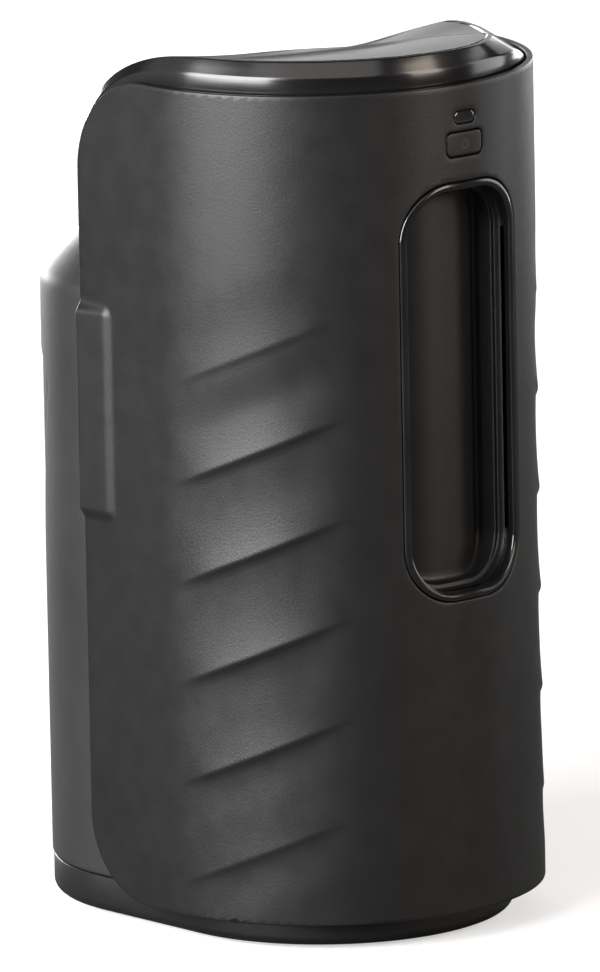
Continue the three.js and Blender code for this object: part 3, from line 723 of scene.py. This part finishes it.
def lid_frame(v):
    """Point (y, z) and normal of the side profile; v is y in front of the roll, length behind it."""
    s = v - LID_ARC_Y
    if s <= 0:
        return v, LID_TOP, (0.0, 1.0)
    if s >= LID_ROLL:
        return LID_ARC_Y + LID_ARC_DEPTH, LID_ARC_Z - (s - LID_ROLL), (1.0, 0.0)
    y = float(np.interp(s, LID_LENGTHS, LID_YS))
    z = float(np.interp(s, LID_LENGTHS, LID_ZS))
    ny = (y - LID_ARC_Y) / LID_ARC_DEPTH ** 2
    nz = (z - LID_ARC_Z) / LID_ARC_RISE ** 2
    size = math.hypot(ny, nz)
    return y, z, (ny / size, nz / size)


BEVEL_WIDTH = (2.9, 13.5)  # between the side wall and the dish: on the left and in front, on the right
BEVEL_DROP = 6.8
ROLLED_DROP = 4.2  # the same over the rolled rear corner
RIGHT_DROP = 2.6  # further drop of the side wall's upper edge on the right
DISH_DEPTH = 6.0
RIGHT_LEAN = 5.0  # the lid's right rear quarter lies this much lower
EDGE_LEAN = 2.0  # and this much more near the edge
LEAN_AXIS = Vector((0.74, 0.67))


def around_lid(x, y):
    """Angle from the front centre line in degrees, positive to the right."""
    if y >= 0:
        return math.copysign(90.0, x)
    return math.degrees(math.atan2(x, -y))


def bevel_width(x, y):
    """Width of the bevel, wider on the right."""
    narrow, wide = BEVEL_WIDTH
    return narrow + (wide - narrow) * float(smooth((around_lid(x, y) - 5) / 40))


def bevel_drop(x, y):
    """Drop over the bevel, less over the rolled corner and more on the right."""
    rolled = (BEVEL_DROP - ROLLED_DROP) * float(smooth((y + 20) / 62))
    return BEVEL_DROP - rolled + RIGHT_DROP * float(smooth((around_lid(x, y) - 25) / 30))


def dish(x, y):
    """How far the top lies below its rim: flat in front and behind, deepest between."""
    away = math.hypot(x, y) if y < 0 else abs(x)
    bowl = max(0.0, 1 - (away / (LID_RADIUS - bevel_width(x, y))) ** 2)
    opening = float(smooth((y + 74) / 62)) * (1 - float(smooth((y - 12) / 40)))
    return DISH_DEPTH * bowl * opening


def lean(x, y):
    """How far the right rear quarter lies below the left one."""
    away = LEAN_AXIS.dot(Vector((x, y)))
    low = RIGHT_LEAN * float(smooth((away + 20) / 36)) + EDGE_LEAN * float(smooth((away - 50) / 14))
    return low * (1 - float(smooth((y - 22) / 30)))


def place_on_lid(x, v, level):
    """level 0 is the top and 1 the side wall's upper edge; above 1 it goes down the wall."""
    y, z, (ny, nz) = lid_frame(v)
    plan_y = y - FRONT_Y
    down = lean(x, plan_y) + dish(x, plan_y)
    down += min(level, 1.0) * bevel_drop(x, plan_y) + max(level - 1.0, 0.0) * BEYOND_STEP
    return Vector((x, y - ny * down, z - nz * down))


def lid_outline(share):
    """U in plan. share 0 is the side wall and 1 the bevel's inner edge; above 1 it goes further in."""
    end = LID_ARC_Y + LID_END
    side_rows, rear_rows = round((end - FRONT_Y) / 2.0), 84
    points = arc(0, FRONT_Y, LID_RADIUS, 0, -180, 145)
    points += between((-LID_RADIUS, FRONT_Y), (-LID_RADIUS, end), side_rows)
    points.append((-LID_RADIUS, end))
    points += between((-LID_RADIUS, end), (LID_RADIUS, end), rear_rows)
    points.append((LID_RADIUS, end))
    points += between((LID_RADIUS, end), (LID_RADIUS, FRONT_Y), side_rows)
    moved = []
    for x, v in points:
        y = v - FRONT_Y
        inset = min(share, 1.0) * bevel_width(x, y) + max(share - 1.0, 0.0) * BEYOND_STEP
        scale = 1 - inset / LID_RADIUS
        behind = min(inset, 3.0) * 0.35 * float(v >= end)  # the rear edge's easing is narrower
        moved.append((x * scale, (FRONT_Y + y * scale) if y < 0 else v - behind))
    return moved


def make_lid():
    """The dished lid with its bevel, its side wall and a lip inside."""
    edge = [
        (1.2, 0.0), (1.06, 0.004), (1.0, 0.025), (0.93, 0.085), (0.5, 0.5), (0.14, 0.86), (0.04, 0.955),
        (0.0, 1.06), (0.0, 1.4), (0.0, 2.0), (0.08, 2.06),
    ]
    inner = [(1.1, 2.06), (1.1, 1.6), (1.4, 1.0)]
    grid = even_grid((-LID_RADIUS, FRONT_Y - LID_RADIUS), (LID_RADIUS, LID_ARC_Y + LID_END), 2.0)
    panel(
        "lid_skin", lid_outline, [], edge + inner, place_on_lid, grid, 0.8,
        "gloss_black", "housing", ["top_lid"],
    )


make_lid()

# ------------------------------------------------------------------ recess, button and indicator


RECESS_GAP = 0.35  # between the recess's opening and the trim ring, all round
LEDGE_DEPTH = 10.0
MOUTH_WIDTH = RECESS_WIDTH - 2 * RECESS_GAP - 2 * TRIM_WIDTH
MOUTH_HEIGHT = RECESS_HEIGHT - 2 * RECESS_GAP - 2 * TRIM_WIDTH
MOUTH_CORNER = RECESS_CORNER - 0.3 - TRIM_WIDTH


def cover_face_y(x):
    """The cover's face in front."""
    return FRONT_Y - math.sqrt(COVER_RADIUS ** 2 - x * x)


def make_trim():
    """Glossy ring with a crowned face round the recess."""
    loop = rounded_rect(
        0, RECESS_Z, RECESS_WIDTH - 2 * RECESS_GAP, RECESS_HEIGHT - 2 * RECESS_GAP,
        RECESS_CORNER - 0.3, 2.0, 25,
    )
    section = [
        (0.0, -5.0), (0.0, -0.35), (0.12, 0.0), (0.5, 0.28), (1.2, 0.42), (2.1, 0.36), (2.9, 0.0),
        (3.35, -0.6), (3.55, -1.3), (TRIM_WIDTH, -2.2), (TRIM_WIDTH, -5.8), (3.0, -6.0), (0.6, -5.8),
    ]
    rows = []
    for inset, height in section:
        rows.append([Vector((x, cover_face_y(x) - height, z)) for x, z in loop(inset)])
    new_piece("trim_ring", *skin(rows, ring=True), "gloss_black", "housing", ["grip_trim_ring"])


def grip_floor_y(x):
    """The recess's floor, a cylinder that bulges to the front and goes on level past its sides."""
    x = min(abs(x), 31.5)  # half the floor's width
    return GRIP_FLOOR_Y + GRIP_FLOOR_RADIUS - math.sqrt(GRIP_FLOOR_RADIUS ** 2 - x ** 2)


def place_in_pocket(x, z, level):
    """level 0 is the cover's face, 1 the ledge, 2 the floor and above 2 behind the floor."""
    ledge = cover_face_y(x) + LEDGE_DEPTH
    floor = grip_floor_y(x)
    if level <= 1:
        y = ledge - (1 - level) * LEDGE_DEPTH
    elif level <= 2:
        y = ledge + (level - 1) * (floor - ledge)
    else:
        y = floor + (level - 2) * LEDGE_DEPTH
    return Vector((x, y, z))


def make_pocket():
    """The recess: side walls, a ledge behind the trim ring and the floor."""
    loop = rounded_rect(0, RECESS_Z, MOUTH_WIDTH, MOUTH_HEIGHT, MOUTH_CORNER, 2.0, 25)
    profile = [
        (6.5, 2.0), (4.6, 1.985), (3.5, 1.93), (2.7, 1.8), (2.3, 1.6), (2.1, 1.3), (2.0, 1.06), (1.9, 1.0),
        (1.6, 0.985), (0.5, 0.975), (0.2, 0.955), (0.05, 0.9), (0.0, 0.8), (0.0, 0.35), (-0.9, 0.35),
        (-1.6, 0.4), (-1.6, 2.2),
    ]
    grid = even_grid((-40, 130), (40, 330), 2.0)
    panel(
        "pocket_skin", loop, [], profile, place_in_pocket, grid, 0.8,
        "matt_black", "housing", ["grip_pocket"],
    )


def place_on_front(lift):
    """Placer for small front parts: level is millimetres behind the cover's face, less the lift."""
    def place(x, z, level):
        return Vector((x, cover_face_y(x) - lift + level, z))
    return place


def power_symbol():
    """Generic power mark: a broken ring and a bar whose flat face is a hair proud of the curved button."""
    outer, inner, depth = 2.1, 1.62, 0.25
    half_bar, bar_low, bar_high = 0.24, 0.5, 2.5
    front = Vector((0, cover_face_y(0) + 0.02, BUTTON_Z))
    section = ((outer, 0), (inner, 0), (inner, depth), (outer, depth))
    ring = []
    for a in np.radians(np.linspace(125, 415, 49)):
        ring.append([front + Vector((r * math.cos(a), y, r * math.sin(a))) for r, y in section])
    vertices, faces = skin(ring)
    corners = ((-half_bar, 0), (half_bar, 0), (half_bar, depth), (-half_bar, depth))
    base = len(vertices)
    vertices += [front + Vector((x, y, z)) for z in (bar_low, bar_high) for x, y in corners]
    box = ((3, 2, 1, 0), (4, 5, 6, 7), (0, 1, 5, 4), (1, 2, 6, 5), (2, 3, 7, 6), (3, 0, 4, 7))
    faces += [tuple(base + i for i in face) for face in box]
    new_piece("power_mark", vertices, faces, "carbon", "button", flat=True)


def make_front_parts():
    """The power button, its mark and the indicator's lens."""
    button = rounded_rect(0, BUTTON_Z, BUTTON_WIDTH, BUTTON_HEIGHT, BUTTON_CORNER, 1.0, 9)
    edge = [(1.1, 0.12), (0.6, 0.14), (0.22, 0.26), (0.04, 0.55), (0.0, 1.0), (0.0, 4.5)]
    grid = even_grid((-12, BUTTON_Z - 8), (12, BUTTON_Z + 8), 1.0)
    panel(
        "button_skin", button, [], edge, place_on_front(0.1), grid, 0.4,
        "button_black", "button", ["power_button"],
    )
    lens = rounded_rect(0, LENS_Z, LENS_WIDTH, LENS_HEIGHT, LENS_HEIGHT / 2 - 0.01, 1.0, 11)
    edge = [(0.8, 0.3), (0.35, 0.34), (0.08, 0.5), (0.0, 0.9), (0.0, 3.0)]
    grid = even_grid((-8, LENS_Z - 4), (8, LENS_Z + 4), 0.8)
    panel(
        "lens_skin", lens, [], edge, place_on_front(0.0), grid, 0.3,
        "smoked_lens", "housing", ["indicator_lens"],
    )
    power_symbol()


make_trim()
make_pocket()
make_front_parts()

# ------------------------------------------------------------------ core: rear shell, panel, deck

CORE_WALL = 2.5
CORE_QUARTER = CORE_RADIUS * math.pi / 2
CORE_HALF = CORE_QUARTER + REAR_Y - CORE_LOW.y
TURRET_RADIUS = CORE_RADIUS - SHOULDER_INSET
SHOULDER_SOFTNESS = 2.2
COLUMN_FACE = 2.4  # plan distance over which the tall column turns into the low turret

PANEL_TOP, PANEL_HALF = 234.0, 70.0
PANEL_NARROW, PANEL_NARROW_Z, PANEL_BOTTOM = 52.0, 110.0, 66.0
INLET_LOW, INLET_HIGH = cad_box("power_inlet")


def along_core(u, radius):
    """Point and outward normal of the core's plan at signed arc length u from the rear centre line."""
    side = -1.0 if u < 0 else 1.0
    length = abs(u)
    if length <= CORE_QUARTER:
        a = length / CORE_RADIUS
        normal = Vector((side * math.sin(a), math.cos(a)))
        return Vector((0, REAR_Y)) + normal * radius, normal
    return Vector((side * radius, REAR_Y - (length - CORE_QUARTER))), Vector((side, 0))


def deck_height(y):
    """Height of the slanted deck."""
    return DECK_FRONT_Z - (y - DECK_FRONT_Y) * DECK_SLOPE


def soft_step(t):
    """Rises from 0 along t, with a rounded start."""
    return (t + math.sqrt(t * t + SHOULDER_SOFTNESS ** 2)) / 2


def place_on_core(u, v, level):
    """v is the height up to the shoulder and a share of the rest above it; level 1 is the inner face."""
    edge, normal = along_core(u, CORE_RADIUS)
    turret, _ = along_core(u, TURRET_RADIUS)
    low = float(smooth((edge.y - DECK_FRONT_Y + COLUMN_FACE) / COLUMN_FACE))
    top = CORE_TOP + (deck_height(turret.y) - CORE_TOP) * low
    z = v
    if v > SHOULDER_Z:
        z = SHOULDER_Z + (v - SHOULDER_Z) * (top - SHOULDER_Z) / (CORE_TOP - SHOULDER_Z)
    inset = soft_step(z - SHOULDER_Z) - soft_step(z - SHOULDER_Z - SHOULDER_INSET)
    p = edge - normal * (inset * low + level * CORE_WALL)
    return Vector((p.x, p.y, z))


def core_columns():
    """Arc lengths of the outline's points: close together where the column ends."""
    turn = CORE_QUARTER + REAR_Y - DECK_FRONT_Y
    half = set(np.arange(0, CORE_HALF, 2.0)) | {CORE_HALF}
    half |= set(turn + np.arange(-0.4, COLUMN_FACE + 0.4, 0.3))
    return sorted({float(-u) for u in half} | {float(u) for u in half})


def core_rows():
    """Heights of the outline's points: close together round the shoulder."""
    fine_low, fine_high = SHOULDER_Z - 4, 300
    steps = ((CORE_BOTTOM, fine_low, 3.0), (fine_low, fine_high, 1.2), (fine_high, CORE_TOP, 3.0))
    return [float(v) for low, high, step in steps for v in np.arange(low, high, step)]


def core_outline(inset):
    """The unrolled rear shell in (arc length, height), moved inwards by an inset."""
    half = CORE_HALF - inset
    low, high = CORE_BOTTOM + inset, CORE_TOP - inset
    us = [u * half / CORE_HALF for u in core_columns()]
    vs = [v for v in core_rows() if CORE_BOTTOM + 1.5 < v < CORE_TOP - 1.5]
    bottom = [(u, low) for u in us]
    top = [(u, high) for u in reversed(us)]
    return bottom + [(half, v) for v in vs] + top + [(-half, v) for v in reversed(vs)]


def panel_loop(gap):
    """The rear panel's shield outline in (x, z)."""
    top, bottom = PANEL_TOP - gap, PANEL_BOTTOM + gap
    wide, narrow = PANEL_HALF - gap, PANEL_NARROW - gap
    return rounded_polygon([
        (wide, top, 14), (-wide, top, 14), (-narrow, PANEL_NARROW_Z, 40), (-22 + gap, bottom, 26),
        (22 - gap, bottom, 26), (narrow, PANEL_NARROW_Z, 40),
    ])


def unrolled(loop):
    """A loop in (x, z), seen from behind, as arc length and height on the rear wall."""
    def rolled(inset):
        return [(CORE_RADIUS * math.asin(max(-1.0, min(1.0, x / CORE_RADIUS))), z) for x, z in loop(inset)]
    return rolled


def make_rear_shell():
    """The rear shell with its openings for the rear panel and the power inlet."""
    inlet_mid = (INLET_LOW + INLET_HIGH) / 2
    width, height = INLET_HIGH.x - INLET_LOW.x + 0.7, INLET_HIGH.z - INLET_LOW.z + 0.7
    inlet = rounded_rect(0, inlet_mid.z, width, height, 2.2, 2.0, 7)
    profile = [(1.5, 0.0), (0.8, 0.05), (0.3, 0.2), (0.06, 0.42), (0.0, 0.7), (0.0, 1.0)]
    grid = np.array([(u, v) for u in core_columns() for v in core_rows()])
    panel(
        "rear_shell_skin", core_outline, [unrolled(panel_loop(0.0)), inlet], profile, place_on_core,
        grid, 0.7, "core_graphite", "housing", ["rear_shell"],
    )


def deck_outline(inset):
    """Turret plan inside its wall: straight in front, round behind."""
    radius = TURRET_RADIUS - 2.2 - inset
    front = DECK_FRONT_Y + 0.6 + inset
    round_part = arc(0, REAR_Y, radius, 0, 180, 91)
    left = between((-radius, REAR_Y), (-radius, front), 3)
    right = between((radius, front), (radius, REAR_Y), 3)
    line = between((-radius, front), (radius, front), 56)
    return round_part + left + [(-radius, front)] + line + [(radius, front)] + right


def place_on_deck(x, y, level):
    """level is millimetres below the deck's face."""
    down = Vector((0, -math.sin(DECK_TILT), -math.cos(DECK_TILT)))
    return Vector((x, y, deck_height(y))) + down * level


def make_deck():
    """The slanted deck's plate with the hose port."""
    port_radius, count = 26.8, 72
    squash = math.cos(DECK_TILT)

    def port(inset):
        circle = arc(0, 0, port_radius + inset, 0, 360 * (1 - 1 / count), count)
        return [(x, DECK_CENTRE.y + y * squash) for x, y in circle]

    profile = [(1.2, 0.0), (0.6, 0.06), (0.15, 0.3), (0.0, 0.7), (0.0, 2.4)]
    grid = even_grid((-60, DECK_FRONT_Y), (60, DECK_BACK_Y), 2.5)
    panel(
        "deck_skin", deck_outline, [port], profile, place_on_deck, grid, 0.8,
        "core_graphite", "housing",
    )


SLOT_HEIGHT, SLOT_PITCH = 4.4, 10.0
SLOT_LOW, SLOT_HIGH = 96.0, 206.0
SLOT_WIDTHS = (52.0, 80.0)  # of the lowest and the highest slot


def make_rear_panel():
    """The rear panel with its row of slots."""
    outer = CORE_RADIUS - 0.6
    wall = 2.4

    def place(x, z, level):
        radius = outer - level * wall
        return Vector((x, REAR_Y + math.sqrt(max(radius ** 2 - x * x, 0.0)), z))

    slots = []
    for z in np.arange(SLOT_LOW, SLOT_HIGH + 1, SLOT_PITCH):
        narrow, wide = SLOT_WIDTHS
        width = narrow + (wide - narrow) * (z - SLOT_LOW) / (SLOT_HIGH - SLOT_LOW)
        slots.append(rounded_rect(0, z, width, SLOT_HEIGHT, SLOT_HEIGHT / 2 - 0.01, 2.0, 9))
    profile = [(0.8, 0.0), (0.35, 0.06), (0.08, 0.22), (0.0, 0.45), (0.0, 1.0)]
    grid = even_grid((-PANEL_HALF, PANEL_BOTTOM), (PANEL_HALF, PANEL_TOP), 2.2)
    panel(
        "rear_panel_skin", panel_loop(0.6), slots, profile, place, grid, 0.6,
        "matt_black", "housing", ["rear_panel"],
    )


def long_oval(radius):
    """Plan of the core: half circles in front and behind, straight sides."""
    front = arc(0, FRONT_Y, radius, 180, 360, 61)
    rear = arc(0, REAR_Y, radius, 0, 180, 61)
    sides = round((REAR_Y - FRONT_Y) / 4)
    right = between(front[-1], rear[0], sides)
    left = between(rear[-1], front[0], sides)
    return front + right + rear + left


def make_base():
    """Plinth with a rounded lower edge and a recessed underside."""
    low, high = cad_box("base_tray")
    radius = high.x
    edge = 4.0
    rounded = [(radius - edge + edge * math.sin(a), low.z + edge - edge * math.cos(a))
               for a in np.radians([0, 15, 30, 45, 60, 75, 90])]
    foot = cad_box("foot_front_left")[1].z
    profile = [
        (radius - 12, foot + 0.3), (radius - 7.2, foot + 0.3), (radius - 6.6, foot),
        (radius - 6.4, low.z + 0.3), (radius - 6.0, low.z), *rounded, (radius, high.z - 0.6),
        (radius - 0.2, high.z - 0.15), (radius - 0.7, high.z), (radius - 2.2, high.z),
        (radius - 2.5, high.z - 0.4), (radius - 2.5, foot + 3.3), (radius - 12, foot + 3.3),
    ]
    rows = [[Vector((x, y, z)) for x, y in long_oval(r)] for r, z in profile]
    new_piece("plinth", *skin(rows), "matt_black", "housing", ["base_tray"])


def make_feet():
    """Four rubber feet with rounded edges."""
    for place in ("front_left", "front_right", "rear_left", "rear_right"):
        low, high = cad_box(f"foot_{place}")
        mid = (low + high) / 2
        radius, height = (high.x - low.x) / 2, high.z
        section = fillet([(0.0, 0.0), (radius - 0.4, 0.0), (radius, height), (0.0, height)], 0.9)
        turned(
            f"foot_{place}_skin", section, Matrix.Translation((mid.x, mid.y, 0)),
            "rubber", "housing", [f"foot_{place}"], 48,
        )


def make_collar():
    """Hose collar with rounded lips, a grip groove and a flange that sits on the deck."""
    bore, spigot, neck, flange, tall = 23.5, 26.5, 29.0, 35.0, 14.0
    section = fillet([
        (bore, -12.0), (spigot, -12.0), (spigot, 0.25), (flange, 0.25), (flange, 3.0), (neck + 0.8, 3.0),
        (neck, 5.0), (neck, 9.0), (neck - 0.9, 9.6), (neck - 0.9, 10.8), (neck, 11.4), (neck, tall),
        (bore + 0.6, tall), (bore, tall - 1.2), (bore, -12.0),
    ], 0.7)
    matrix = Matrix.Translation(DECK_CENTRE) @ Matrix.Rotation(-DECK_TILT, 4, "X")
    turned(
        "hose_collar_skin", section[1:], matrix, "matt_black", "housing", ["hose_collar"], 96, ring=True,
    )


make_rear_shell()
make_deck()
make_rear_panel()
make_base()
make_feet()
make_collar()

# ------------------------------------------------------------------ stage and light


def camera_sees(tree, seen, otherwise, surface):
    """One shader for the rays that come from the camera, and another for all the rest."""
    path = tree.nodes.new("ShaderNodeLightPath")
    mix = tree.nodes.new("ShaderNodeMixShader")
    tree.links.new(path.outputs["Is Camera Ray"], mix.inputs[0])
    tree.links.new(otherwise.outputs[0], mix.inputs[1])
    tree.links.new(seen.outputs[0], mix.inputs[2])
    tree.links.new(mix.outputs[0], surface)


def shader(tree, kind, grey, strength=None):
    """A shader node of one grey."""
    node = tree.nodes.new(kind)
    node.inputs["Color"].default_value = (grey, grey, grey, 1)
    if strength is not None:
        node.inputs["Strength"].default_value = strength
    return node


def stage_material(name):
    """Pale where the camera looks at it, dark in the object's reflections, like a dark table."""
    material = bpy.data.materials.new(name)
    material.use_nodes = True
    tree = material.node_tree
    tree.nodes.clear()
    pale = tree.nodes.new("ShaderNodeAddShader")
    tree.links.new(shader(tree, "ShaderNodeBsdfDiffuse", 0.6).outputs[0], pale.inputs[0])
    tree.links.new(shader(tree, "ShaderNodeEmission", 1.0, 0.5).outputs[0], pale.inputs[1])
    dark = shader(tree, "ShaderNodeBsdfDiffuse", 0.12)
    output = tree.nodes.new("ShaderNodeOutputMaterial")
    camera_sees(tree, pale, dark, output.inputs["Surface"])
    return material


def make_stage():
    """A floor that reaches well beyond what the camera sees."""
    size = 20.0
    corners = [(-size, -size, 0), (size, -size, 0), (size, size, 0), (-size, size, 0)]
    mesh = bpy.data.meshes.new("floor")
    mesh.from_pydata(corners, [], [(0, 1, 2, 3)])
    floor = bpy.data.objects.new("floor", mesh)
    mesh.materials.append(stage_material("floor_pale"))
    bpy.context.scene.collection.objects.link(floor)


def softbox(name, azimuth, distance, size, heights, radiance, colour=(1, 1, 1)):
    """Area light of one width that stands between two heights and faces the object."""
    low, high = heights
    tall = high - low
    data = bpy.data.lights.new(name, "AREA")
    data.shape = "RECTANGLE"
    data.size, data.size_y = size, tall
    data.energy = radiance * math.pi * size * tall
    data.color = colour
    light = bpy.data.objects.new(name, data)
    away = direction(azimuth, 0)
    light.location = Vector((0, FRONT_Y * MM, (low + high) / 2)) + away * distance
    towards = CAMERA_TARGET - light.location
    light.rotation_mode = "QUATERNION"
    light.rotation_quaternion = towards.to_track_quat("-Z", "Y")
    bpy.context.scene.collection.objects.link(light)


def make_light():
    """A wide key on the left, a warm strip on the right, rims behind, and a backdrop for the gloss."""
    view = CAMERA_AZIMUTH
    softbox("key_left", view - 48, 1.4, 1.3, (0.20, 1.05), 19.0)
    softbox("fill_left", view - 96, 1.8, 1.0, (0.05, 1.4), 0.5)
    softbox("warm_right", view + 62, 1.7, 0.6, (0.2, 1.3), 8.0, (1.0, 0.87, 0.76))
    softbox("fill_right", view + 110, 1.8, 1.0, (0.02, 1.0), 3.0)
    softbox("rim_left", view - 156, 2.4, 1.1, (0.02, 0.6), 21.0)
    softbox("rim_right", view + 152, 2.4, 1.1, (0.02, 0.8), 6.0)
    softbox("overhead", view, 2.2, 3.2, (1.2, 2.4), 1.6, (1.0, 0.95, 0.9))
    softbox("backdrop", view + 180, 4.0, 6.0, (0.2, 3.6), 0.8)


def make_world():
    """White behind the object, and a faint even light on it."""
    world = bpy.data.worlds.new("studio")
    bpy.context.scene.world = world
    world.use_nodes = True
    tree = world.node_tree
    faint = tree.nodes["Background"]
    faint.inputs["Color"].default_value = (1, 1, 1, 1)
    faint.inputs["Strength"].default_value = 0.04
    white = shader(tree, "ShaderNodeBackground", 1, 1.0)
    camera_sees(tree, white, faint, tree.nodes["World Output"].inputs["Surface"])


bpy.context.scene.view_settings.view_transform = "Standard"
make_stage()
make_light()
make_world()
